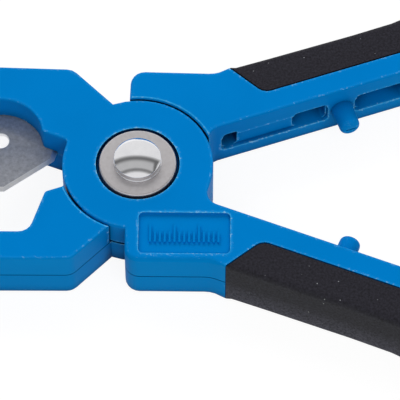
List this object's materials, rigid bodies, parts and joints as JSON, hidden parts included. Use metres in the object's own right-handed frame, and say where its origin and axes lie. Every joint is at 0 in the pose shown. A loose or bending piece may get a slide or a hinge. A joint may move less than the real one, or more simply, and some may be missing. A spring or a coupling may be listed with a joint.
{
  "type": "hose cutter",
  "caption": "Hand-held hose cutter with two moulded levers on a rivet, a flat blade in one jaw, a V-shaped anvil in the other and rubber-covered handles.",
  "frame": {"origin": "on the pivot's axis, at the levers' back faces, on which the tool lies", "axes": "+X from the pivot to the handles, +Y to the jaw that holds the blade, +Z along the pivot to the front, where the rivet's domed head is"},
  "size_m": [0.166, 0.1214, 0.0174],
  "materials": {
    "blue_plastic": "satin moulded nylon",
    "black_rubber": "fine matte grain",
    "blade_steel": "ground steel",
    "washer_steel": "satin plated steel",
    "rivet_steel": "polished",
    "bush_brass": "turned",
    "screw_steel": "zinc plated",
    "spring_steel": "drawn wire",
    "ring_plastic": "plain",
    "latch_steel": "black oxide",
    "pin_steel": "ground"
  },
  "bodies": {
    "blade_side": {"blade_lever": "blue_plastic", "blade_cover": "blue_plastic", "cover_screws": "screw_steel", "blade": "blade_steel", "lower_grip": "black_rubber", "pivot_rivet": "rivet_steel", "pivot_bush": "bush_brass", "front_washer": "washer_steel", "back_washer": "washer_steel", "friction_ring": "ring_plastic", "return_spring": "spring_steel", "catch_pin": "pin_steel"},
    "anvil_side": {"anvil_lever": "blue_plastic", "upper_grip": "black_rubber", "latch_pin": "pin_steel"},
    "latch": {"latch": "latch_steel"}
  },
  "joints": [
    {"name": "jaw_hinge", "type": "hinge", "parent": "blade_side", "child": "anvil_side", "pos_m": [0, 0, 0.00675], "axis": [0, 0, 1], "range_deg": [-33.7, 11], "stiffness_Nm_per_rad": 0.8, "deforming": ["return_spring"]},
    {"name": "latch_swing", "type": "hinge", "parent": "anvil_side", "child": "latch", "pos_m": [0.06356, 0.02989, 0.00675], "axis": [0, 0, 1], "range_deg": [-91.5, 0]}
  ]
}
